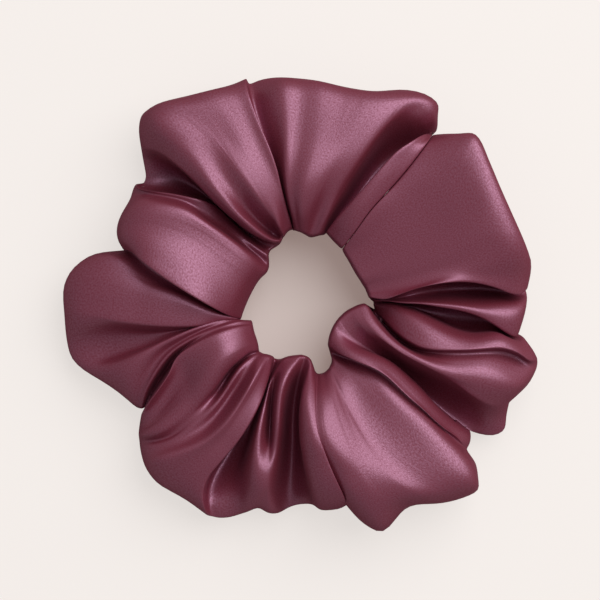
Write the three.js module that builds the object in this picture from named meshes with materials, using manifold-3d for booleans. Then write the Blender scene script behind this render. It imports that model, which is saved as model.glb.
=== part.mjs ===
import * as THREE from 'three';
import { mergeVertices } from 'three/addons/utils/BufferGeometryUtils.js';
import Module from 'manifold-3d';

// Satin scrunchie lying on a table: a gathered satin tube round a loop of flat elastic.
// Millimetres, +Z up, +X to the right and +Y away, seen from above.

// The loop as a whole
const outerReach = 75;
const holeReach = 23;
const coverHeight = 35;
const restFlat = 0.5;

// Cloth, and the gap that the model keeps between pieces that touch
const coverWall = 0.8;
const clearance = 0.3;

// Flat braided elastic, closed by lapping its ends
const elasticWidth = 6;
const elasticThickness = 0.9;
const elasticLap = 14;
const elasticRise = 10;
const collarRoom = 0.65;

// Sewing thread
const seamThreadDiameter = 0.5;
const seamRoom = 0.75;
const joinThreadDiameter = 0.4;
const joinStitchPitch = 2;
const joinStitchReach = 1.4;

// How far a cutting body reaches past what it cuts
const overrun = 20;

const wasm = await Module();
wasm.setup();

// Each gathered fold of the tube, going anticlockwise round the loop:
// bearing of its inner end, bearing of its outer end (both in degrees),
// inner end's share of the hole's reach, outer end's share of the outer reach,
// crest's share of the height towards the hole and towards the rim,
// and how far its underside lifts, as a share of the height.
const foldShares = [
  [4.5, 4, 0.93, 0.942, 0.46, 0.36, 0.05],
  [10, 8, 0.92, 0.965, 0.80, 0.84, 0.00],
  [20, 16, 0.89, 0.975, 0.84, 0.98, 0.00],
  [35, 26, 0.83, 0.960, 0.85, 1.00, 0.00],
  [50, 44.5, 0.88, 1.016, 0.87, 0.97, 0.10],
  [59, 50, 0.91, 0.940, 0.87, 0.84, 0.14],
  [67.5, 53, 0.98, 0.925, 0.86, 0.78, 0.12],
  [72.5, 57, 1.00, 1.000, 0.54, 0.32, 0.06],
  [80, 70, 0.96, 0.950, 0.88, 0.86, 0.00],
  [90, 91, 0.95, 0.936, 0.94, 0.80, 0.00],
  [96.5, 101.5, 0.99, 0.945, 0.55, 0.42, 0.08],
  [99.5, 105, 0.98, 0.970, 0.85, 0.74, 0.08],
  [102, 113, 0.95, 0.970, 0.92, 0.90, 0.00],
  [106, 122, 0.91, 0.995, 0.88, 0.93, 0.00],
  [112, 132, 0.85, 1.030, 0.92, 0.77, 0.06],
  [118, 139.5, 0.82, 0.872, 0.55, 0.30, 0.08],
  [124, 144.5, 0.78, 0.861, 0.63, 0.65, 0.06],
  [140, 152, 0.70, 0.840, 0.80, 0.76, 0.00],
  [161, 160, 0.70, 0.827, 0.84, 0.84, 0.00],
  [173.5, 162, 0.77, 0.812, 0.86, 0.72, 0.02],
  [180, 165, 0.84, 0.804, 0.64, 0.43, 0.06],
  [183.5, 171, 0.86, 0.965, 0.74, 0.56, 0.00],
  [187, 182, 0.86, 1.012, 0.78, 0.48, 0.04],
  [190, 192, 0.86, 0.990, 0.72, 0.40, 0.04],
  [195, 211, 0.85, 0.816, 0.84, 0.54, 0.10],
  [202, 219, 0.75, 0.870, 0.84, 0.53, 0.04],
  [212, 229.5, 0.78, 0.974, 0.70, 0.56, 0.00],
  [225, 238, 0.84, 0.953, 0.72, 0.60, 0.04],
  [237, 244, 0.87, 0.966, 0.82, 0.43, 0.06],
  [243, 249.5, 0.85, 0.930, 0.55, 0.33, 0.04],
  [246.5, 255, 0.84, 0.890, 0.52, 0.50, 0.06],
  [251, 259.5, 0.82, 0.890, 0.55, 0.38, 0.04],
  [257, 264, 0.78, 0.875, 0.58, 0.45, 0.04],
  [264.5, 268, 0.76, 0.865, 0.48, 0.34, 0.08],
  [274, 276.5, 0.73, 0.873, 0.88, 0.64, 0.00],
  [284, 283, 0.97, 0.880, 0.90, 0.74, 0.06],
  [291, 289, 0.99, 1.016, 0.95, 0.74, 0.04],
  [294, 301, 0.94, 0.974, 0.92, 0.90, 0.00],
  [297, 313, 0.90, 1.068, 0.80, 0.78, 0.08],
  [303, 317, 0.82, 0.960, 0.70, 0.68, 0.10],
  [313, 320.5, 0.60, 0.900, 0.74, 0.57, 0.06],
  [326, 324.5, 0.56, 0.960, 0.54, 0.33, 0.08],
  [336, 334, 0.58, 0.965, 0.70, 0.60, 0.02],
  [342, 340.5, 0.62, 1.016, 0.72, 0.72, 0.00],
  [346.5, 345, 0.66, 1.018, 0.64, 0.50, 0.06],
  [351, 349, 0.72, 0.975, 0.64, 0.62, 0.02],
  [355.5, 352.3, 0.80, 0.925, 0.52, 0.40, 0.06],
  [360, 357.8, 0.88, 0.930, 0.62, 0.66, 0.06],
];

// One fold's section, from the hole over the top to the rim and back underneath:
// share of the way outwards, share of the height, and how far the point follows
// its own fold's inner crest, its outer crest and its lifted underside.
const sectionShares = [
  [0.00, 0.36, 0.00, 0.00, 0.00],
  [0.04, 0.65, 0.15, 0.00, 0.00],
  [0.17, 0.82, 0.65, 0.00, 0.00],
  [0.37, 0.95, 0.95, 0.00, 0.00],
  [0.58, 1.00, 0.40, 0.60, 0.00],
  [0.78, 1.00, 0.00, 0.95, 0.05],
  [0.95, 0.74, 0.00, 0.85, 0.35],
  [1.00, 0.27, 0.00, 0.20, 0.60],
  [0.89, 0.05, 0.00, 0.00, 1.00],
  [0.64, -0.02, 0.00, 0.00, 1.00],
  [0.30, -0.02, 0.00, 0.00, 0.60],
  [0.03, 0.14, 0.00, 0.00, 0.00],
];
const columnsPerFold = 2;
const rimStation = sectionShares.findIndex(([outwards]) => outwards === 1);
const closingSeamShare = 0.094;

const satin = new THREE.MeshStandardMaterial({ color: 0x783f4a, roughness: 0.4, metalness: 0 });
const braid = new THREE.MeshStandardMaterial({ color: 0x5c3440, roughness: 0.85, metalness: 0 });
const thread = new THREE.MeshStandardMaterial({ color: 0x6d3743, roughness: 0.6, metalness: 0 });

function polar(bearing, reach) {
  const angle = THREE.MathUtils.degToRad(bearing);
  return new THREE.Vector3(Math.cos(angle) * reach, Math.sin(angle) * reach, 0);
}

// A closed surface through rings of points. A closed run of rings makes a torus,
// an open one is capped at both ends.
function loft(rings, runIsClosed) {
  const size = rings[0].length;
  const spans = runIsClosed ? rings.length : rings.length - 1;
  const faces = [];
  for (let i = 0; i < spans; i += 1) {
    const here = i * size;
    const next = ((i + 1) % rings.length) * size;
    for (let k = 0; k < size; k += 1) {
      const after = (k + 1) % size;
      faces.push(here + k, next + after, next + k);
      faces.push(here + k, here + after, next + after);
    }
  }
  if (!runIsClosed) {
    const last = (rings.length - 1) * size;
    for (let k = 1; k < size - 1; k += 1) {
      faces.push(0, k + 1, k);
      faces.push(last, last + k, last + k + 1);
    }
  }
  const geometry = new THREE.BufferGeometry();
  geometry.setFromPoints(rings.flat());
  geometry.setIndex(faces);
  geometry.computeVertexNormals();
  return geometry;
}

// The grid of points of the cloth's outside, one ring of them for each column.
function coverRings() {
  const innerEnds = foldShares.map((fold) => polar(fold[0], fold[2] * holeReach));
  const outerEnds = foldShares.map((fold) => polar(fold[1], fold[3] * outerReach));
  const levels = foldShares.map((fold) => new THREE.Vector3(fold[4], fold[5], fold[6]));
  const innerLine = new THREE.CatmullRomCurve3(innerEnds, true);
  const outerLine = new THREE.CatmullRomCurve3(outerEnds, true);
  const levelLine = new THREE.CatmullRomCurve3(levels, true);
  const rings = [];
  const columns = foldShares.length * columnsPerFold;
  for (let i = 0; i < columns; i += 1) {
    const innerEnd = innerLine.getPoint(i / columns);
    const outerEnd = outerLine.getPoint(i / columns);
    const level = levelLine.getPoint(i / columns);
    rings.push(sectionShares.map(([outwards, rise, innerPull, outerPull, basePull]) => {
      const point = innerEnd.clone().lerp(outerEnd, outwards);
      const crest = 1 - innerPull * (1 - level.x) - outerPull * (1 - level.y);
      point.z = Math.max((rise * crest + basePull * level.z) * coverHeight - restFlat, 0);
      return point;
    }));
  }
  return rings;
}

const outside = coverRings();
const outsideGeometry = loft(outside, true);
const outsideNormals = outsideGeometry.getAttribute('normal');
const sharpestMitreShare = 0.8;

function inwardNormal(column, station) {
  const index = column * sectionShares.length + station;
  return new THREE.Vector3().fromBufferAttribute(outsideNormals, index).negate();
}

// At a crease a point has to move further than the faces on both sides of it.
// This gives, for each point, the faces' share of the point's own movement.
function creaseShares() {
  const corners = outside.flat();
  const shares = corners.map(() => 1);
  const index = outsideGeometry.getIndex().array;
  const face = new THREE.Triangle();
  for (let i = 0; i < index.length; i += 3) {
    const trio = [index[i], index[i + 1], index[i + 2]];
    face.set(...trio.map((corner) => corners[corner]));
    const faceNormal = face.getNormal(new THREE.Vector3());
    trio.forEach((corner) => {
      const pointNormal = new THREE.Vector3().fromBufferAttribute(outsideNormals, corner);
      shares[corner] = Math.min(shares[corner], pointNormal.dot(faceNormal));
    });
  }
  return shares.map((share) => Math.max(share, sharpestMitreShare));
}

const creases = creaseShares();

// The outside moved into the cloth by one depth everywhere.
function ringsAtDepth(depth) {
  return outside.map((ring, column) => ring.map((point, station) => {
    const movement = depth / creases[column * sectionShares.length + station];
    return point.clone().addScaledVector(inwardNormal(column, station), movement);
  }));
}

function toSolid(geometry) {
  const bare = geometry.clone();
  bare.deleteAttribute('normal');
  bare.deleteAttribute('uv');
  const merged = mergeVertices(bare);
  return new wasm.Manifold(new wasm.Mesh({
    numProp: 3,
    vertProperties: Float32Array.from(merged.getAttribute('position').array),
    triVerts: Uint32Array.from(merged.getIndex().array),
  }));
}

function toMesh(name, solid, material) {
  const { vertProperties, triVerts } = solid.getMesh();
  const geometry = new THREE.BufferGeometry();
  geometry.setAttribute('position', new THREE.BufferAttribute(vertProperties, 3));
  geometry.setIndex(new THREE.BufferAttribute(triVerts, 1));
  geometry.computeVertexNormals();
  const mesh = new THREE.Mesh(geometry, material);
  mesh.name = name;
  return mesh;
}

// Each half of the loop is what one of these blocks takes out of it.
// They meet across the width's middle with the usual clearance between them.
function halfBlock(side) {
  const across = outerReach * 2 + overrun;
  const tall = coverHeight + overrun;
  const block = new THREE.BoxGeometry(across, across * 2, tall * 2);
  block.translate(side * (across + clearance) / 2, 0, 0);
  return toSolid(block);
}

// A round thread through a row of points, each with the direction of the cloth above it.
function threadRings(points, normals, diameter, runIsClosed) {
  const sides = 4;
  const last = points.length - 1;
  return points.map((point, i) => {
    const before = points[i > 0 ? i - 1 : (runIsClosed ? last : 0)];
    const after = points[i < last ? i + 1 : (runIsClosed ? 0 : last)];
    const along = after.clone().sub(before).normalize();
    const aside = normals[i].clone().cross(along).normalize();
    const up = along.clone().cross(aside);
    return Array.from({ length: sides }, (_, k) => {
      const angle = (k + 0.5) / sides * Math.PI * 2;
      return point.clone()
        .addScaledVector(aside, Math.cos(angle) * diameter / 2)
        .addScaledVector(up, Math.sin(angle) * diameter / 2);
    });
  });
}

// Satin cover: one wall of cloth round a hollow that holds the elastic.
function coverSolid() {
  const hollow = loft(ringsAtDepth(coverWall), true);
  return toSolid(outsideGeometry).subtract(toSolid(hollow));
}

// Long seam: runs inside the rim, right round the loop. It takes the straight way
// past the corners of the folds, so it stays clear of the wall in the notches between them.
const seamDepth = coverWall / sharpestMitreShare + clearance + seamThreadDiameter / 2;
const longSeamDepth = seamDepth + seamRoom;
const seamWindow = 3;

function longSeamPoints() {
  const rim = ringsAtDepth(longSeamDepth).map((ring) => ring[rimStation]);
  return rim.map((point, column) => {
    const reaches = [];
    for (let shift = -seamWindow; shift <= seamWindow; shift += 1) {
      const other = rim[(column + shift + rim.length) % rim.length];
      reaches.push(Math.hypot(other.x, other.y));
    }
    return new THREE.Vector3(point.x, point.y, 0).setLength(Math.min(...reaches)).setZ(point.z);
  });
}

function longSeamSolid() {
  const points = longSeamPoints();
  const normals = points.map((point) => new THREE.Vector3(point.x, point.y, 0).normalize());
  return toSolid(loft(threadRings(points, normals, seamThreadDiameter, true), true));
}

// Closing seam: goes once round the tube where the strip's two ends meet.
function closingSeamSolid() {
  const column = Math.round(closingSeamShare * outside.length);
  const points = ringsAtDepth(seamDepth)[column];
  const normals = points.map((_, station) => inwardNormal(column, station));
  return toSolid(loft(threadRings(points, normals, seamThreadDiameter, true), true));
}

// Elastic: a flat band that goes once round and laps over its own start,
// moving outwards by its thickness and a clearance on the way.
const elasticReach = holeReach + coverWall + clearance + collarRoom + elasticThickness / 2;
const lapStep = elasticThickness + clearance;
const lapDegrees = THREE.MathUtils.radToDeg(elasticLap / elasticReach);
const lapBearing = 180;

function elasticPoint(turnDegrees) {
  const climb = THREE.MathUtils.smoothstep(turnDegrees, lapDegrees, 360);
  const point = polar(lapBearing - lapDegrees / 2 + turnDegrees, elasticReach + climb * lapStep);
  point.z = elasticRise;
  return point;
}

function elasticSolid() {
  const steps = 80;
  const whole = 360 + lapDegrees;
  const rings = [];
  for (let i = 0; i <= steps; i += 1) {
    const centre = elasticPoint(whole * i / steps);
    const outwards = new THREE.Vector3(centre.x, centre.y, 0).normalize();
    const corners = [[-1, -1], [-1, 1], [1, 1], [1, -1]];
    rings.push(corners.map(([across, up]) => {
      const corner = centre.clone().addScaledVector(outwards, across * elasticThickness / 2);
      corner.z += up * elasticWidth / 2;
      return corner;
    }));
  }
  return toSolid(loft(rings, false));
}

// Join: a zigzag row of stitches through both ends of the band, each one going
// through to the other face and back.
function joinThreadPath() {
  const stitches = Math.floor(elasticLap / joinStitchPitch) - 1;
  const standOff = elasticThickness / 2 + clearance + joinThreadDiameter / 2;
  const points = [];
  for (let i = 0; i < stitches; i += 1) {
    const share = (i + 1) / (stitches + 1);
    const bearing = lapBearing + (share - 0.5) * lapDegrees;
    const rise = elasticRise + (i % 2 === 0 ? 1 : -1) * joinStitchReach;
    const faces = [elasticReach - standOff, elasticReach + lapStep + standOff];
    if (i % 2 === 1) faces.reverse();
    faces.forEach((reach) => {
      const point = polar(bearing, reach);
      point.z = rise;
      points.push(point);
    });
  }
  return points;
}

function joinThreadSolid(diameter) {
  const points = joinThreadPath();
  const normals = points.map(() => new THREE.Vector3(0, 0, 1));
  return toSolid(loft(threadRings(points, normals, diameter, false), false));
}

const scrunchie = new THREE.Group();
const cover = coverSolid();
const longSeam = longSeamSolid();
[['left', -1], ['right', 1]].forEach(([name, side]) => {
  const block = halfBlock(side);
  scrunchie.add(toMesh(`satin_cover_${name}`, cover.intersect(block), satin));
  scrunchie.add(toMesh(`long_seam_thread_${name}`, longSeam.intersect(block), thread));
});
scrunchie.add(toMesh('closing_seam_thread', closingSeamSolid(), thread));
const needleHoles = joinThreadSolid(joinThreadDiameter + clearance * 2);
scrunchie.add(toMesh('elastic_loop', elasticSolid().subtract(needleHoles), braid));
scrunchie.add(toMesh('elastic_join_thread', joinThreadSolid(joinThreadDiameter), thread));

// The origin is under the middle of the whole loop, on the table.
const box = new THREE.Box3().setFromObject(scrunchie);
const middle = box.getCenter(new THREE.Vector3());
scrunchie.position.set(-middle.x, -middle.y, -box.min.z);

export default scrunchie;
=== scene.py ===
import math

import bmesh
import bpy
import numpy as np
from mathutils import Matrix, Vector


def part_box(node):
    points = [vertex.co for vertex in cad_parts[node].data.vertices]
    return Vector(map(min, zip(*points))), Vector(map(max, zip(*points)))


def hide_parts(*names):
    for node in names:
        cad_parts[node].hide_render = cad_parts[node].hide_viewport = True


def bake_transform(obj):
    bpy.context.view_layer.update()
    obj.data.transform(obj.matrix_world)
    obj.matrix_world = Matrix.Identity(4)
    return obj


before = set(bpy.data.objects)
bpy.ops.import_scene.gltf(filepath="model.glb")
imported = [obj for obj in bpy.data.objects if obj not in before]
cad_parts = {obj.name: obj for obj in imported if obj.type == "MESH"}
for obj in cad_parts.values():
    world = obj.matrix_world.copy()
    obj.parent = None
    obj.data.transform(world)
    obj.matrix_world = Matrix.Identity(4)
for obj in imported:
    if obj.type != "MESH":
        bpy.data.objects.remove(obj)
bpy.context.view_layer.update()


# Camera: straight above the loop, as the photograph was taken.
# The photograph's frame is 600 pixels wide, and the loop is 150 mm across in it.
SENSOR_MM = 36.0
FRAME_PX = 600
LOOP_WIDTH_PX = 476.4
LOOP_CENTRE_PX = (298.5, 305.8)
LOOP_WIDTH = 0.150
METRES_PER_PX = LOOP_WIDTH / LOOP_WIDTH_PX
CAMERA_HEIGHT = 1.0
OUTLINE_LEVEL = 0.016
MM_PER_METRE = 1000
camera_foot = (
    (FRAME_PX / 2 - LOOP_CENTRE_PX[0]) * METRES_PER_PX,
    (LOOP_CENTRE_PX[1] - FRAME_PX / 2) * METRES_PER_PX,
)


def from_pixel(x, y, z_mm=0.0):
    """A point of the photograph, at a height above the table in millimetres."""
    z = z_mm / MM_PER_METRE
    scale = METRES_PER_PX * (CAMERA_HEIGHT - z) / (CAMERA_HEIGHT - OUTLINE_LEVEL)
    return Vector((
        camera_foot[0] + (x - FRAME_PX / 2) * scale,
        camera_foot[1] + (FRAME_PX / 2 - y) * scale,
        z,
    ))


camera_data = bpy.data.cameras.new("photo_camera")
camera_data.sensor_width = SENSOR_MM
camera_data.lens = SENSOR_MM * (CAMERA_HEIGHT - OUTLINE_LEVEL) / (FRAME_PX * METRES_PER_PX)
camera = bpy.data.objects.new("photo_camera", camera_data)
bpy.context.collection.objects.link(camera)
camera.location = (*camera_foot, CAMERA_HEIGHT)
bpy.context.scene.camera = camera


# Light: one big soft window to the upper right and a bright room all round.
# The satin shines most where it leans a little towards the window.
WINDOW_PLACE = (0.64, 0.64, 1.10)
WINDOW_AIM = (0, 0, 0.02)
WINDOW_SIZE = 1.60
WINDOW_POWER = 22.0
ROOM_STRENGTH = 0.40


def linear(hex_colour):
    """An sRGB hex colour as linear RGBA."""
    channels = [int(hex_colour[i:i + 2], 16) / 255 for i in (1, 3, 5)]
    return [c / 12.92 if c <= 0.04045 else ((c + 0.055) / 1.055) ** 2.4 for c in channels] + [1.0]


def add_node(tree, kind, links=(), **settings):
    """Adds one node, gives its settings and sockets their values, and links what goes into it."""
    node = tree.nodes.new(kind)
    for name, value in settings.items():
        if hasattr(node, name):
            setattr(node, name, value)
        else:
            node.inputs[name].default_value = value
    for source, socket in links:
        tree.links.new(source, node.inputs[socket])
    return node


window_data = bpy.data.lights.new("window", "AREA")
window_data.shape = "DISK"
window_data.size = WINDOW_SIZE
window_data.energy = WINDOW_POWER
window_data.color = linear("#fffdfb")[:3]
window = bpy.data.objects.new("window", window_data)
bpy.context.collection.objects.link(window)
window.location = WINDOW_PLACE
window_look = Vector(WINDOW_AIM) - Vector(WINDOW_PLACE)
window.rotation_euler = window_look.to_track_quat("-Z", "Y").to_euler()
world = bpy.data.worlds.new("room")
bpy.context.scene.world = world
world.use_nodes = True
room_light = world.node_tree.nodes["Background"]
room_light.inputs["Color"].default_value = linear("#f8f3f1")
room_light.inputs["Strength"].default_value = ROOM_STRENGTH
bpy.context.scene.view_settings.view_transform = "Standard"


# Table top: a plain pale board with matt paint, under the whole loop.
# The camera sees a share of it as a glow, less of it in the hole, so that the loop's
# shadow on the board stays as faint as in the photograph.
TABLE_REACH = 3.0
TABLE_GLOW_SHARE = 0.74
HOLE_GLOW_SHARE = 0.5
HOLE_REACH, LOOP_REACH = 0.030, 0.060
table_mesh = bmesh.new()
bmesh.ops.create_grid(table_mesh, x_segments=1, y_segments=1, size=TABLE_REACH)
table_data = bpy.data.meshes.new("table_top")
table_mesh.to_mesh(table_data)
table_mesh.free()
table = bpy.data.objects.new("table_top", table_data)
bpy.context.collection.objects.link(table)
# The board's material holds its matt paint and a painted glow, a painted light seen only by the
# camera.
table_paint_and_painted_glow = bpy.data.materials.new("matt_board_with_painted_glow")
table_paint_and_painted_glow.use_nodes = True
table_shader = table_paint_and_painted_glow.node_tree.nodes["Principled BSDF"]
table_shader.inputs["Roughness"].default_value = 0.9
table_data.materials.append(table_paint_and_painted_glow)
board_and_glow_tree = table_paint_and_painted_glow.node_tree
seen = add_node(board_and_glow_tree, "ShaderNodeLightPath")
table_tones = add_node(
    board_and_glow_tree, "ShaderNodeValToRGB", [(seen.outputs["Is Camera Ray"], "Fac")],
)
table_tones.color_ramp.elements[0].color = linear("#b3a7a0")
table_tones.color_ramp.elements[1].color = linear("#f4efec")
board_and_glow_tree.links.new(table_tones.outputs["Color"], table_shader.inputs["Base Color"])
table_place = add_node(board_and_glow_tree, "ShaderNodeTexCoord")
from_middle = add_node(
    board_and_glow_tree, "ShaderNodeVectorMath", [(table_place.outputs["Object"], 0)], operation="LENGTH",
)
past_loop = add_node(
    board_and_glow_tree, "ShaderNodeMapRange", [(from_middle.outputs["Value"], "Value")],
    interpolation_type="SMOOTHSTEP", **{"From Min": HOLE_REACH, "From Max": LOOP_REACH},
)
# Painted light and painted shade: the glow is pale outside the loop, which lifts the loop's shadow,
# and a darker brown in the hole, which stands in for the hole's shade.
painted_glow_and_hole_shade_tones = add_node(
    board_and_glow_tree, "ShaderNodeValToRGB", [(past_loop.outputs["Result"], "Fac")],
)
painted_glow_and_hole_shade_tones.color_ramp.elements[0].color = linear("#b79e96")
painted_glow_and_hole_shade_tones.color_ramp.elements[1].color = linear("#f6f0ec")
glow = add_node(
    board_and_glow_tree, "ShaderNodeEmission", [(painted_glow_and_hole_shade_tones.outputs["Color"], "Color")], Strength=1.0,
)
glow_spread = add_node(
    board_and_glow_tree, "ShaderNodeMapRange", [(past_loop.outputs["Result"], "Value")],
    **{"To Min": HOLE_GLOW_SHARE, "To Max": TABLE_GLOW_SHARE},
)
glow_share = add_node(
    board_and_glow_tree, "ShaderNodeMath",
    [(seen.outputs["Is Camera Ray"], 0), (glow_spread.outputs["Result"], 1)], operation="MULTIPLY",
)
surface = add_node(
    board_and_glow_tree, "ShaderNodeMixShader",
    [
        (glow_share.outputs["Value"], 0), (table_shader.outputs["BSDF"], 1),
        (glow.outputs["Emission"], 2),
    ],
)
table_output = board_and_glow_tree.nodes["Material Output"]
board_and_glow_tree.links.new(surface.outputs["Shader"], table_output.inputs["Surface"])


# Satin cover: one strip of polyester satin sewn to a tube along its rim and closed
# round the tube at the right, gathered on the elastic into deep folds.

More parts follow.
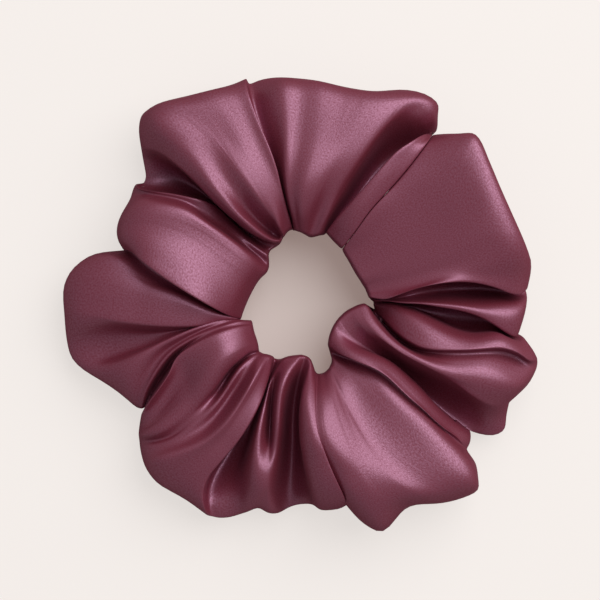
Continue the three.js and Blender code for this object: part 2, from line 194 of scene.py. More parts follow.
# Each fold line is traced from the hole to the rim, as pixel x, pixel y and height in mm.
# An edge is a fold that hangs over the cloth behind it and turns tightly.
FOLD_LINES = [
    # closing seam, then the broad panel at the right
    ("soft", [(342, 249, 21), (355, 232, 25), (370, 211, 27.5), (395, 184, 28.5), (411, 165, 29),
        (424, 148, 28), (433, 134.5, 13)]),
    ("soft", [(348, 259, 21), (375, 236, 24.5), (410, 204, 28), (438, 170, 31), (452, 149, 31.5),
        (458, 139, 30), (460, 133.5, 20)]),
    ("soft", [(353, 268, 21), (385, 245, 24.5), (425, 212, 28.5), (452, 173, 32), (466, 151, 33),
        (473, 139, 32), (475.5, 133, 22)]),
    ("soft", [(357, 275, 21), (395, 253, 24.5), (435, 225, 28.5), (464, 191, 32.3),
        (477, 172, 33.5), (484, 161, 33), (487, 157, 22)]),
    ("soft", [(361, 281, 21), (400, 264, 24.5), (445, 238, 29), (476, 210, 32.5), (490, 200, 33.7),
        (497, 195, 33), (500.5, 192.5, 20)]),
    ("soft", [(364, 286, 20), (405, 273, 24.5), (455, 252, 29.3), (484, 233, 32.2), (500, 223, 33),
        (508, 219.5, 32), (512, 218, 19)]),
    ("soft", [(366, 289, 20), (408, 278, 24.5), (460, 260, 28.8), (494, 248, 31), (511, 244, 31.7),
        (520, 243, 29.5), (525, 247, 17)]),
    ("soft", [(367, 292, 20), (412, 283, 25), (465, 269, 28.3), (498, 264, 29.5), (518, 261, 28.7),
        (528, 260, 24), (532, 260, 14)]),
    ("soft", [(368, 294, 20.5), (410, 289, 26), (455, 276, 28.5), (492, 275, 26), (512, 276, 20.5),
        (525, 276.5, 13), (530, 274, 8)]),
    ("edge", [(369, 297, 21), (385, 299.5, 24), (402, 293.7, 27), (421, 287.3, 28.5),
        (446, 283, 29), (467, 282, 28), (485, 285, 25), (498, 289, 22), (508, 293.5, 18),
        (519, 295, 14), (527, 288, 9)]),
    # cavity under the panel's lower edge
    ("soft", [(370, 298, 16), (386, 299, 17), (402, 292, 20), (421, 285, 18), (446, 280.5, 13),
        (467, 279.5, 11), (485, 281, 11), (498, 285, 11), (510, 289, 11), (520, 290, 9),
        (525, 287, 7)]),
    ("soft", [(371, 299, 15), (390, 299.3, 16), (410, 295, 17), (435, 291.5, 11), (460, 290, 6.5),
        (480, 290, 6.5), (500, 292, 9), (520, 294, 8), (527, 291, 7)]),
    # first fold of the lower right group
    ("soft", [(371, 299.5, 16), (388, 299.9, 18), (404, 299.5, 20), (425, 298, 18.5),
        (446, 296, 17), (467, 297.5, 17.5), (485, 299.5, 19.5), (505, 301, 20.5), (522, 302, 17),
        (527, 299, 8)]),
    ("soft", [(372, 300, 17), (388, 300.4, 19.5), (404, 301.5, 22.3), (425, 302.3, 23.5),
        (446, 303.5, 24), (467, 306.5, 24.3), (485, 310, 23.7), (503, 313, 22), (519, 315, 17.5),
        (525, 312, 8)]),
    ("edge", [(373, 301, 16), (387, 301.2, 19), (404, 303.5, 22), (420, 304, 23),
        (439, 307.2, 23.3), (458.3, 310.5, 23.3), (472.6, 314.4, 23), (487, 320.6, 22),
        (496.5, 326.8, 20.5), (506, 333.5, 17.5), (514.7, 337.5, 13), (518.5, 331.6, 8)]),
    ("soft", [(374, 302, 13), (388, 301.6, 14), (404, 302.5, 12.5), (420, 302.5, 10),
        (439, 305, 7.5), (458, 307, 7), (472, 311, 8), (484, 317, 10), (494, 323, 11),
        (503, 330, 11), (512, 334, 9), (517, 333, 7)]),
    ("soft", [(374, 303.5, 12), (390, 303, 12), (405, 306, 9), (425, 312, 6), (446, 319, 5.5),
        (466, 325, 7.5), (482, 327, 11), (493, 330, 15), (504, 335, 15.5), (514, 338, 12),
        (519, 334, 7)]),
    # second fold
    ("soft", [(374, 305, 12), (393, 304, 18), (408, 311, 22), (419, 316, 23.5), (433, 325, 25.3),
        (448, 332.5, 25.7), (463, 337.3, 25.7), (477, 338.5, 25.3), (489, 336, 24.5),
        (499, 335, 23.5), (510, 339, 18.5), (520, 343, 13), (525, 339, 8)]),
    ("soft", [(374.5, 307, 12), (392, 309, 19), (408, 320, 23.5), (426, 333, 26), (446, 341.5, 27),
        (466, 345, 27), (483, 343.5, 26.5), (498, 341.5, 25.5), (511, 344, 21), (524, 350, 15),
        (533, 350, 8)]),
    ("edge", [(375, 309, 11), (384, 319, 16), (396, 332, 21), (413, 344, 25.5), (427, 349.4, 27.3),
        (446, 350.4, 28), (467, 350, 28), (481, 349.3, 27.5), (491, 348.3, 26.3),
        (501, 347.8, 24.5), (511, 350.2, 22), (520.4, 354.5, 19), (527, 360, 15.5), (537, 358, 9)]),
    ("soft", [(373.5, 311, 10), (382, 322, 9), (394, 335, 9.5), (409, 346, 14), (427, 351, 21),
        (446, 352, 24), (467, 352, 24), (481, 351, 22.5), (497, 349.5, 17.5), (510, 352, 14),
        (520, 357.5, 13), (528, 364, 12), (537.5, 363, 8)]),
    # third fold, with its bright crest
    ("soft", [(372, 311, 14), (377, 318, 16), (386, 330, 19), (398, 342, 21.5), (415, 353, 24.5),
        (434, 359, 26.3), (450, 361.5, 26.7), (465, 360.5, 26.3), (480, 359.5, 25), (497, 361, 21),
        (512, 366, 17), (526, 372, 13), (536, 369, 8)]),
    ("soft", [(370, 308, 18), (377, 320, 21), (389, 335, 24), (405, 348, 26.5), (425, 359, 28),
        (445, 366, 28.3), (462, 368, 28), (478, 366, 27.3), (492, 370, 25.5), (506, 377, 22),
        (517, 383, 17), (530, 381, 8)]),
    ("soft", [(365, 303, 20), (373, 320, 23), (386, 336, 25.3), (402, 351, 27.3), (421, 363, 28.5),
        (440, 373, 28.7), (458, 380, 28), (474, 384, 26.5), (490, 388, 23.5), (505, 392, 18),
        (517, 394.5, 8)]),
    ("edge", [(358, 305, 20), (366, 321, 23), (376, 333.5, 24.7), (389, 344.5, 26.3),
        (404, 355, 27.5), (420, 363.5, 28), (439, 374, 27.6), (456, 383, 26), (468, 393, 23),
        (481, 401, 18), (494, 405, 13), (509, 402, 8)]),
    ("soft", [(350, 309, 20), (358, 322, 22), (368, 334, 22.5), (383, 345, 21.5), (400, 359, 20),
        (418, 371, 17.5), (438, 383, 15), (455, 394, 12.5), (470, 407, 11.5), (487, 417, 10.5),
        (507, 417, 8)]),
    ("soft", [(344, 313, 20), (352, 325, 21), (363, 336, 20), (377, 348, 18), (393, 361, 15),
        (410, 374, 12.5), (428, 388, 11), (444, 402, 10), (462, 416, 9.5), (480, 427, 9.5),
        (505, 432, 8)]),
    ("soft", [(339, 318, 20), (347, 330, 20.5), (359, 341, 19), (375, 352, 16.5), (390, 364, 13.5),
        (406, 378, 11), (423, 393, 9.5), (440, 407, 9), (455, 419, 9), (470, 428, 9),
        (494, 437, 7.5)]),
    ("soft", [(336, 322, 20), (343, 334, 20.5), (357, 346, 19.5), (374, 354, 17), (390, 364, 14),
        (404, 376, 12), (418, 388, 11), (436, 407, 10), (452, 421, 9.5), (470, 431, 8)]),
    # narrow fold that overlaps the lower right panel
    ("soft", [(332, 329, 20), (340, 338, 21.5), (356, 348, 23.3), (372, 353, 24.2),
        (386, 359, 24.6), (399, 367, 24.8), (411, 379, 24.8), (420, 387, 24.5), (430, 398.5, 23.3),
        (440, 409, 21.3), (449.5, 417.7, 18.8), (459, 424.8, 16), (471, 432, 9)]),
    ("soft", [(329, 337, 20), (338, 345, 23.3), (354, 353, 25.8), (369, 359, 26.8),
        (382, 367, 27.1), (394, 376.5, 27.1), (406, 389, 27.1), (418, 401, 26.5), (432, 415, 24.3),
        (447, 429, 21), (460, 440, 15.5), (471, 441, 9)]),
    ("edge", [(328, 345, 20), (337, 353, 22.5), (347, 357.5, 25.5), (362, 364.3, 27.5),
        (376, 369.4, 28.5), (387, 376.5, 28.8), (398.6, 387.7, 28.7), (410, 399, 28.2),
        (420, 406.2, 27.9), (429.6, 415.8, 26.3), (444, 428.2, 23.5), (453.5, 434, 20),
        (460, 440.6, 16), (466.9, 449.2, 11)]),
    ("soft", [(330, 352, 17), (338, 354, 16.5), (348, 357, 18.5), (364, 362.5, 21),
        (377, 368, 22.5), (388, 376, 24), (399, 387, 25), (410, 398.5, 25), (421, 406.5, 25),
        (432, 418, 24), (446, 431, 21), (458, 442, 15.5), (468, 452, 8)]),
    # lower right panel
    ("soft", [(331, 356, 18.5), (339, 360, 19), (349, 363, 20.5), (361, 369, 22.7), (373, 376, 25),
        (383, 384, 26.6), (394, 395, 27.6), (405, 406, 28.1), (417, 415, 28.4), (429, 425, 28.1),
        (442, 436, 26.6), (455, 446, 23.5), (466, 454, 17), (475, 462, 8)]),
    ("soft", [(332, 359, 19.5), (345, 367, 22), (360, 380, 24.9), (377, 399, 27.1),
        (397, 420, 28.3), (421, 440, 28.9), (446, 457, 28.6), (465, 466, 26.6), (477, 471, 9)]),
    ("soft", [(332, 363, 20), (346, 375, 23.3), (363, 399, 26.2), (386, 427, 28), (413, 452, 28.9),
        (442, 471, 28.9), (467, 480, 26.9), (478, 481, 9)]),
    ("soft", [(331, 365, 20.5), (343, 383, 24.8), (359, 412, 27.2), (381, 443, 28.8),
        (409, 468, 29.1), (441, 483, 27.2), (468, 488, 22), (479, 489.5, 9)]),
    ("soft", [(330.5, 366, 20.8), (341.5, 387, 25.4), (356, 417, 27.8), (377, 449, 29.3),
        (402, 473, 29.6), (430, 489, 26.5), (454, 494, 18.5), (469, 494.5, 8)]),
    ("soft", [(330, 367, 21), (340, 391, 25.8), (354, 422, 28.9), (373, 454, 30.4),
        (393, 477, 30.7), (413, 491, 27), (431, 499, 18), (443, 502, 8)]),
    ("soft", [(329, 369, 21), (337, 395, 27.2), (349, 427, 30.5), (362, 457, 31.8),
        (376, 480, 31.3), (390, 496, 26), (399, 504.5, 15), (404, 507, 8)]),
    ("soft", [(327, 371, 21), (334, 398, 28.3), (344, 431, 31.8), (355, 460, 32.9),
        (366, 486, 31.2), (379, 505, 23.5), (390, 515, 13), (396, 517, 8)]),
    ("soft", [(325, 373, 20.5), (330.5, 400, 29.2), (338, 433, 32.8), (348, 462, 33.6),
        (358, 487, 30.5), (370, 511, 22), (380, 528, 13), (383, 534, 8)]),
    ("soft", [(322, 374, 20), (325.5, 401, 29.7), (331, 434, 33.4), (340, 462, 33.7),
        (350, 487, 29.7), (361, 511, 19.5), (369, 526.5, 8)]),
    ("soft", [(319, 374.5, 19.5), (320.3, 401, 29.6), (324.8, 433, 33.8), (332, 459, 33.2),
        (342, 485, 27.5), (351, 504, 17.5), (359, 519.5, 8)]),
    ("soft", [(317, 374, 18), (315.3, 400, 28.2), (316.5, 433, 32.8), (322.5, 456, 31.7),
        (331, 480, 24.7), (341.5, 499, 13), (349.5, 508, 7)]),
    # right fold of the bottom group, over the panel
    ("edge", [(315, 371, 20), (315.5, 382, 25), (316.3, 407, 30.8), (317.3, 424, 33),
        (320.3, 438, 34), (325.7, 452.2, 33.8), (331, 466.3, 32.4), (338, 481.7, 29.5),
        (344.8, 495.7, 23), (347, 504, 11)]),
    ("soft", [(313.5, 366, 21), (312, 380, 25.8), (310.5, 405, 31.3), (311.5, 424, 33.6),
        (313.5, 440, 34.3), (318.5, 455, 33.5), (324.5, 470, 31.5), (330.5, 485, 27.5),
        (335.5, 498, 20.5), (339, 508.5, 9)]),
    ("soft", [(311.5, 361, 21), (308, 378, 25.5), (305, 400, 30.7), (304.5, 424, 32.8),
        (306.5, 445, 33), (310.5, 465, 30.5), (315.5, 484, 26), (320.5, 500, 18), (324, 510, 9)]),
    ("soft", [(309, 358, 21), (304.5, 374, 20), (300.5, 395, 15), (299, 420, 14),
        (299.5, 445, 13.5), (301, 465, 13), (303.5, 485, 11.5), (306.5, 499, 9.5),
        (310, 504.5, 8)]),
    ("soft", [(305, 356, 20), (300, 371, 17.5), (295.5, 387, 12.5), (292.5, 408, 8.5),
        (291.5, 440, 8), (290, 470, 7.5), (288.5, 490, 7), (291, 507, 6.5)]),
    ("soft", [(303, 355.5, 20), (297, 368, 21), (290.5, 384, 19.5), (286.5, 407, 16),
        (285, 440, 14), (282.5, 470, 11), (281, 492, 8.5), (284, 511, 7)]),
    ("soft", [(301, 355, 20), (293, 365, 23), (285.5, 379, 25.5), (281.5, 403, 25.3),
        (280, 430, 24.6), (278, 450, 22.3), (275.8, 466, 22.3), (273.7, 480, 19),
        (272.5, 495, 13.5), (276, 514, 8)]),
    ("soft", [(291, 356, 20), (282.5, 370, 23), (278, 388, 25.5), (275.8, 408, 26),
        (274.8, 431, 25.2), (273.3, 450, 22.8), (271.7, 467, 23.8), (270, 481, 21.5),
        (269, 497, 14.5), (270, 513.8, 8)]),
    ("soft", [(284, 358, 20), (276, 372, 20), (273, 389, 16.5), (271.7, 407, 13), (271, 425, 12.5),
        (270.3, 436, 14.5), (269.6, 444, 19.5), (268.7, 455, 22.4), (267.3, 470, 24.4),
        (266, 482, 22.5), (264.5, 495, 15), (262.5, 510, 8)]),
    ("soft", [(282, 359, 19), (273, 374, 19.5), (270, 390, 19), (268, 410, 20), (266, 430, 20.8),
        (265, 445, 21.7), (264, 458, 23.2), (262.7, 472, 24.6), (260.5, 486, 21), (258, 507, 8)]),
    ("soft", [(280, 359.5, 18), (271.5, 376, 18.5), (268, 389, 20.5), (263, 410, 24.3),
        (258.5, 430, 25.2), (256.5, 448, 24.8), (255.2, 462, 24.7), (253.5, 476, 22.5),
        (251.5, 491, 16), (250, 511, 8)]),
    ("soft", [(278, 359.5, 17), (270, 379, 16), (265, 395, 14), (258.5, 412, 16), (252, 432, 18),
        (247, 450, 17.5), (243, 466, 15.8), (240.5, 481, 14), (240, 497, 12.3), (240, 515, 9.5)]),
    ("soft", [(277, 359.5, 16.5), (269, 381, 14.5), (262, 398, 10), (254.5, 416, 6),
        (247.5, 436, 6), (240.5, 456, 8), (234, 474, 10.8), (230, 488, 12.2), (228, 504, 12.4),
        (228, 518.5, 10)]),
    ("soft", [(276, 359, 16), (268, 381, 14), (261, 397, 10), (252, 416, 7.5), (243, 438, 7),
        (232.5, 460, 8), (223, 480, 9.8), (218, 495, 11.6), (215.5, 507, 12.2), (219, 519, 10.3)]),
    ("soft", [(275, 359, 16), (267.5, 381, 14), (260, 396, 10), (250, 415, 6), (239, 436, 5.5),
        (228, 455, 6), (217, 473, 7.5), (211, 488, 9.7), (209.5, 501, 11.9), (213, 517.5, 10.7)]),
    # lower left group
    ("edge", [(273, 357, 19), (270.7, 370, 20.5), (266, 388, 23), (260, 405, 25), (250, 424, 25.5),
        (237, 443.5, 24.5), (221, 461.7, 21.5), (207.5, 478.6, 17), (203.5, 492, 14),
        (204.5, 505, 11.5), (208, 515.5, 7.5)]),
    ("soft", [(270, 355.5, 20), (263.5, 370, 23), (256, 388, 25.5), (244, 408, 26),
        (229, 430, 25.5), (211, 452, 23), (196, 470, 18.5), (186, 487, 12.5), (181, 496.5, 8)]),
    ("soft", [(268, 355, 20), (261.5, 368, 24), (253, 386, 26.5), (242, 406, 26.5),
        (228, 426, 26.5), (209, 447, 24), (187, 463, 19.5), (170, 477, 13), (160, 486, 8)]),
    ("soft", [(266, 354.5, 20), (259, 367, 24), (250, 385, 27.5), (240, 402, 27.5),
        (229, 418, 27.5), (208, 439, 26.5), (182, 451, 23.5), (163, 457.5, 19.5), (151, 462, 13.5),
        (146.5, 469, 8)]),
    ("soft", [(263, 354, 20), (254, 364, 22.5), (244, 376, 21), (236, 388, 19.5), (228, 399, 19.5),
        (219, 412, 20), (206, 426, 21), (189, 438, 21.8), (168, 447, 20.3), (151, 453, 14.5),
        (141, 454, 8)]),
    ("soft", [(261, 353, 19.5), (252, 361, 21), (242, 371, 22), (234, 382, 22.5), (226, 394, 22.5),
        (216, 408, 23), (204, 420, 22.5), (190, 432, 21.5), (171, 442, 19.3), (151, 448, 14),
        (140, 449, 8)]),
    ("soft", [(260, 352.5, 19), (250, 358, 22), (241, 364, 24), (232, 376, 25), (225, 389, 24.5),
        (215, 402, 24), (203, 414, 23.3), (190, 427, 21.7), (172, 438, 18.3), (152, 444, 13.5),
        (139.5, 445, 8)]),
    ("soft", [(259, 352, 18), (250.6, 354, 19), (240, 362, 14), (233, 367.5, 11), (226.5, 376, 10),
        (220.5, 386, 12), (214, 395, 19), (205, 406, 22), (192, 420, 21.3), (178, 433, 17.5),
        (158, 440, 13), (139, 441, 8)]),
    # left end of the lower group
    ("edge", [(258.5, 350, 20), (250, 351.8, 23), (239.4, 360, 25.5), (232, 366, 26),
        (225.4, 373.7, 25.5), (219, 383, 25), (212, 392, 24.3), (204, 401, 23.5), (192, 413, 22.2),
        (179, 426, 19), (161, 436, 15.5), (147, 438, 11.5), (138.7, 438, 8)]),
    ("soft", [(258, 346, 20), (248, 347, 24), (234, 355, 28), (218, 368, 28.7), (203, 384, 27.3),
        (190, 400, 24.5), (176, 415, 22), (161, 427, 20), (147, 432, 15), (138.5, 433, 8)]),
    ("soft", [(257, 341, 20), (245, 343, 25), (228, 350, 28.7), (210, 361, 28), (194, 373, 23.7),
        (181, 388, 19), (171, 402, 15.5), (161, 415, 13.5), (151, 424, 11.5), (138.8, 427, 8)]),
    ("soft", [(254, 333, 20), (240, 335, 25), (222, 342, 28), (205, 350, 27), (189, 360, 24),
        (178, 373, 20), (168, 387, 16), (158, 401, 13.5), (147, 414, 11), (140, 420, 8)]),
    ("edge", [(252.5, 326, 20), (240, 327, 24), (220, 332, 27), (200, 341, 26.5), (184, 351, 25.5),
        (174, 358, 24.5), (171.7, 367.7, 24), (162, 384.5, 22), (155, 394.5, 19.5),
        (149, 402.5, 15.5), (141.5, 414.5, 8)]),
    ("soft", [(252, 323, 19), (240, 324, 22.5), (220, 329, 25), (200, 338, 24), (185, 348, 20),
        (174, 358, 13), (166, 369, 9), (158, 382, 7), (151, 394, 7), (145, 407, 7)]),
    ("soft", [(251.5, 321.5, 19), (240, 321.5, 22.5), (218, 326.5, 24.5), (200, 333.5, 24.5),
        (184, 343, 24.5), (170, 353, 24), (160.5, 365, 22.5), (152.5, 378, 19.5), (146, 391, 15),
        (143, 409, 8)]),
    ("soft", [(251, 320.8, 18), (240, 320.2, 21), (218, 325, 22.5), (198, 332.3, 22),
        (181, 341.5, 21), (166.5, 351.5, 19.5), (157.5, 363, 17.5), (150, 377, 15),
        (143, 391.5, 11.5), (139.5, 409, 7.5)]),
    ("soft", [(250, 320.5, 18), (238, 319.8, 21), (216, 323.7, 23), (196, 331, 23.5),
        (178, 340, 23), (161, 350.5, 21.5), (149, 364, 19.5), (139, 381, 15.5), (135, 407.5, 8)]),
    # left panel
    ("soft", [(248, 320.3, 18), (236, 319.7, 21), (214, 323, 23), (192, 330, 24), (170, 340, 24),
        (145, 355, 22.5), (128, 373, 17.5), (120, 393, 8)]),
    ("soft", [(246, 320.2, 18), (234, 319.6, 21), (210, 322.8, 23), (185, 331, 23.5),
        (155, 344, 22.5), (125, 359, 18), (107, 371, 12), (99, 379.5, 8)]),
    ("soft", [(244, 320.1, 18), (233, 319.5, 21), (205, 323.5, 23), (176, 336, 22),
        (141, 349, 15.5), (110, 356.5, 10), (90, 360, 9), (70, 359, 8)]),
    ("soft", [(242, 320, 18), (232, 319.4, 20.5), (202, 326, 21), (176, 331.5, 19.5),
        (141, 335, 15.5), (112, 337, 11.3), (92, 340, 9.8), (67, 347, 8)]),
    ("soft", [(241, 319.8, 18), (231, 319.3, 20.5), (200, 326.5, 21.5), (176, 329.5, 21),
        (141, 328, 21), (110, 324, 19), (90, 324, 16.3), (65, 330, 8)]),
    ("edge", [(240, 319.6, 18.5), (230, 319.4, 21), (214, 322.5, 22.5), (199.5, 326.1, 24),
        (179, 326.7, 24.3), (155, 325.9, 24), (134, 323.5, 23), (113, 320.7, 20.5),
        (96, 316.5, 17.5), (80, 313, 14), (64, 312, 8)]),
    ("soft", [(239.7, 319.5, 19), (226, 317, 22), (205, 315, 24.5), (180, 310, 25),
        (150, 304, 24.5), (115, 298, 21), (85, 294, 15), (62, 291, 8.5)]),
    ("soft", [(239.5, 319.3, 19), (224, 315, 22), (201, 307, 25), (174, 295, 25), (146, 286, 23.5),
        (115, 275, 19.5), (92, 268, 14), (73, 267, 8)]),
    ("soft", [(239.4, 319.2, 18), (222, 313.7, 21.8), (195, 301.5, 24.5), (168, 289.5, 24),
        (147, 281, 22), (128, 268, 19), (108, 256, 15), (88, 255.5, 8)]),
    ("soft", [(239.3, 319.1, 17), (221, 313, 20.8), (193, 298.5, 23.3), (165, 284, 21.3),
        (146, 273, 19), (132, 260, 15.5), (117, 250.5, 8)]),
    ("soft", [(239.5, 319, 15), (220, 310.5, 19), (192, 293, 20.5), (165, 276, 19), (147, 263, 16),
        (134, 252.5, 12), (125, 250, 7.5)]),
    # upper left panel
    ("edge", [(240.5, 319, 16), (233, 317.8, 20), (225.8, 314.6, 23.5), (213.3, 308.3, 28),
        (196, 298.6, 30.8), (178.9, 288.2, 31), (161.7, 276.8, 30.6), (147.9, 266.4, 28.5),
        (139.8, 259.5, 24.5), (133, 252.5, 17), (123.8, 249.8, 9)]),
    ("soft", [(243, 311, 16), (234, 301, 22.5), (214, 284, 27.5), (191, 267, 29.6),
        (166, 251, 29.5), (145, 243.5, 27), (127, 243, 19), (119, 242, 9)]),
    ("soft", [(252, 291, 16), (241, 281, 22), (219, 265, 26), (193, 245, 28), (164, 231, 28),
        (142, 226.5, 25), (125, 227, 18.5), (117, 229, 9)]),
    ("soft", [(260, 278, 16), (250, 267, 21.5), (226, 248, 25.3), (198, 229, 27.8),
        (169, 216, 28.2), (146, 210.5, 25.5), (130, 211, 18), (122, 214, 9)]),
    ("soft", [(267, 272, 16), (254, 257, 21), (230, 238, 25), (207, 222, 27.7), (189, 209, 27.8),
        (165, 202, 25.5), (145, 199, 19.5), (129, 202, 9)]),
    ("soft", [(269, 264, 14), (256, 253.8, 14.5), (237, 240.5, 18), (219, 227.5, 19.5),
        (204, 217, 20.5), (191, 204, 22.5), (170, 197.5, 20.5), (150, 195, 16), (131.5, 193, 9)]),
    ("soft", [(268.5, 257, 17), (255, 248, 18), (238, 234, 18), (222, 219, 18.5),
        (210, 208.5, 20.5), (195, 200.5, 24), (178, 196, 22.5), (155, 193, 17.5), (133, 188, 9)]),
    ("edge", [(268.4, 254, 16), (256, 243.5, 15.5), (240, 229, 15.5), (225, 214.5, 16.5),
        (215.6, 205.5, 19), (199.5, 199.3, 23.5), (184.6, 195.8, 22.5), (167.4, 193, 20.5),
        (151.3, 191.6, 17.5), (139, 189.5, 14), (136, 184, 9)]),
    ("soft", [(270, 250, 15), (258, 241, 12), (242, 228, 11), (226, 213, 9), (213, 202, 8),
        (199, 196, 9), (184, 192, 9), (167, 189, 9), (152, 187, 9), (144, 184, 8), (147, 181, 7)]),
    # top left panel
    ("soft", [(275, 247, 14.5), (260, 239.5, 12.5), (243, 227, 11), (227, 212.5, 8.5),
        (209, 196.5, 6), (192, 181, 6), (176, 171, 8), (160, 167, 10), (144.5, 171, 8)]),
    ("soft", [(278, 245, 15), (265, 241, 15), (252, 234.5, 15), (233, 220, 14.5), (214, 202.5, 13),
        (196, 184, 12), (181, 170, 13), (163, 160, 14), (142.5, 160, 8)]),
    ("edge", [(280, 243, 19), (273, 242.6, 20.5), (265, 240, 22), (253.5, 234.3, 24),
        (242, 225, 25.5), (230.5, 216, 26.5), (219, 205.6, 27.5), (204, 191, 28), (191, 178, 27.5),
        (177, 165.5, 25), (162, 154, 19), (141, 148, 9)]),
    ("soft", [(281, 241.5, 20), (273, 240, 22), (262, 234, 25.2), (250, 225, 28), (236, 213.5, 30),
        (223, 200, 31.2), (208, 183, 31.5), (192, 163, 30.5), (170, 145, 26), (150, 137, 18),
        (139, 136, 11)]),
    ("soft", [(282, 239, 19.5), (275, 236, 15), (265, 229, 17.5), (254, 218, 20.5),
        (245, 208, 23.5), (236, 196, 27.6), (225, 181, 29), (209, 159, 30.2), (184, 137, 29.9),
        (158, 124, 27), (139.5, 119, 14)]),
    ("soft", [(283, 237, 20), (278, 230, 20.5), (270, 217, 25.5), (257, 199, 29.6),
        (240, 176, 31.3), (222, 152, 30.3), (203, 131, 29), (182, 116, 27.4), (163, 109.5, 25.3),
        (143, 113, 14)]),
    ("soft", [(284, 236, 21), (279, 226, 25), (271, 206, 27.9), (258, 184, 30.3), (244, 162, 31),
        (229, 139, 29.6), (213, 117, 28.1), (197, 103, 26.3), (187, 96, 14)]),
    ("soft", [(286, 233, 21), (280.5, 216, 25.5), (272, 193, 28.3), (259, 168, 30),
        (245, 143, 30.1), (233, 120, 28.8), (223, 103, 27), (218, 94, 25), (216, 89, 14)]),
    ("soft", [(289, 230, 20.5), (283, 208, 25), (275.5, 183, 28), (264, 155, 29.2),
        (252, 127, 28.8), (243, 106, 27.3), (237.5, 94, 25), (234, 84, 13)]),
    ("edge", [(292.5, 229, 19), (290, 219, 22), (285, 200.3, 25.5), (281.2, 185, 27.8),
        (277.4, 168.4, 29.2), (269.7, 146.7, 30), (258.3, 120, 29), (249, 94, 25.5), (247, 86, 22),
        (246.3, 78.5, 13)]),
    # top panel
    ("soft", [(293, 230, 16), (288, 214, 18), (281.5, 196, 20), (276, 176, 21.5), (270, 155, 22),
        (261, 130, 21.5), (253, 103, 18.5), (250, 84, 10)]),
    ("soft", [(293.5, 230, 16.5), (289.5, 214, 20.5), (284, 196, 23), (280, 178, 24.5),
        (275.5, 158, 24.8), (269, 135, 24), (261, 108, 21.5), (258, 79.5, 11)]),
    ("soft", [(294, 230, 17.5), (291, 214, 22.8), (286, 196, 26), (283, 178, 27.6),
        (281, 160, 27.8), (279, 142, 27.2), (275, 120, 25.5), (270, 100, 23.3), (269, 77.5, 12)]),
    ("soft", [(295.5, 230, 20), (291.5, 210, 26), (288, 192, 28.8), (286.5, 172, 29.9),
        (287, 148, 29.8), (287, 121, 28.2), (286, 100, 25.8), (286, 86, 23.5), (286, 77.5, 12)]),
    ("soft", [(298, 231, 20.3), (295, 209, 26), (292.5, 189, 28.9), (294, 164, 29.3),
        (297, 136, 28), (299, 108, 25.7), (300, 90, 22.5), (301, 78.5, 12)]),
    ("soft", [(300, 231.5, 20.5), (299, 208, 28), (299, 186, 30.7), (304, 156, 30.3),
        (309, 124, 28), (312, 101, 25.5), (313, 88, 22.8), (313, 80, 12)]),
    ("soft", [(305, 234, 20), (308, 212, 26.5), (315, 186, 30.5), (325, 157, 30.6),
        (335, 127, 28.4), (342, 106, 25.8), (345, 96, 23.3), (346, 87.5, 12)]),
    ("soft", [(311, 237, 18.5), (318, 217, 22), (329, 190, 27), (345, 160, 29.4), (361, 130, 28.9),
        (372, 110, 27.3), (376, 100, 25.3), (377, 91.5, 13)]),
    ("soft", [(316, 236, 19), (325, 217, 23), (339, 190, 26.3), (357, 162, 28.5), (375, 136, 28.5),
        (390, 116, 27), (401, 101, 24.5), (407, 89, 13)]),
    ("soft", [(320, 235, 19), (332, 212, 22.5), (347, 187, 24), (364, 161, 25.5), (380, 136, 26.3),
        (397, 117, 25.3), (415, 105, 23), (430, 101.5, 20.5), (439, 103, 12)]),
    ("soft", [(323, 234.6, 17), (336, 212.5, 18), (351, 190, 17.5), (366, 168, 15), (381, 147, 15),
        (398, 130, 19), (415, 118, 23), (431, 113, 22.5), (438, 116, 13)]),
    ("soft", [(325, 234, 15), (339, 213, 14), (354, 194, 12), (369, 174, 9.5), (385, 156, 9),
        (400, 144, 11.5), (414, 133, 17), (430, 126, 19.5), (438, 127, 12)]),
    ("soft", [(326, 233, 15), (338, 216.5, 13.5), (350, 204, 12), (363, 190, 10), (374, 178, 9),
        (387, 164, 8.5), (399, 151, 9.5), (412, 142, 12.5), (428, 134, 13), (437, 131, 8)]),
    # bright band between the panel's upper edge and the closing seam
    ("edge", [(326, 232, 20), (338, 216.3, 25), (350, 203, 28), (361.6, 190, 29.5),
        (373, 177, 30.5), (386, 162, 31), (398.6, 149.3, 31), (409, 143, 29.5), (418, 137.5, 25.5),
        (427, 134, 17)]),
    ("soft", [(333, 240, 21), (345, 225, 26), (358, 208, 29), (372, 193, 30), (388, 174, 30.5),
        (402, 159, 30), (413, 148, 29), (423, 140, 23), (430, 134.2, 15)]),
    ("soft", [(342, 249, 21), (355, 232, 25), (370, 211, 27.5), (395, 184, 28.5), (411, 165, 29),
        (424, 148, 28), (433, 134.5, 13)]),
]

# How the points are spread: over the top of each fold line, and along the strip.
STEPS_PER_SPAN = 8
TOP_STATIONS = 28
RIM_CROWDING = 0.55
COLUMN_SPACING = 0.0026
MOST_COLUMNS = 8
SHORTEST_STEP = 1e-7

# How the cloth rounds over at the rim, and how it goes down the hole side and back underneath.
LEAST_DROP = 0.001
RIM_FIRMNESS = 0.5
RIM_SHARE = 0.45
COLLAR_LEVELS = (0.66, 0.32)
COLLAR_SHIFTS = (-0.0003, 0.0008)
UNDERSIDE_SHARES = (0.14, 0.34, 0.56, 0.76, 0.90)
UNDERSIDE_RISE = (0.0016, 0.0003, 0.0003, 0.0008, 0.0030)
VALLEY_LIFT_SHARE = 0.12
RIDGE_LEVEL = 0.026

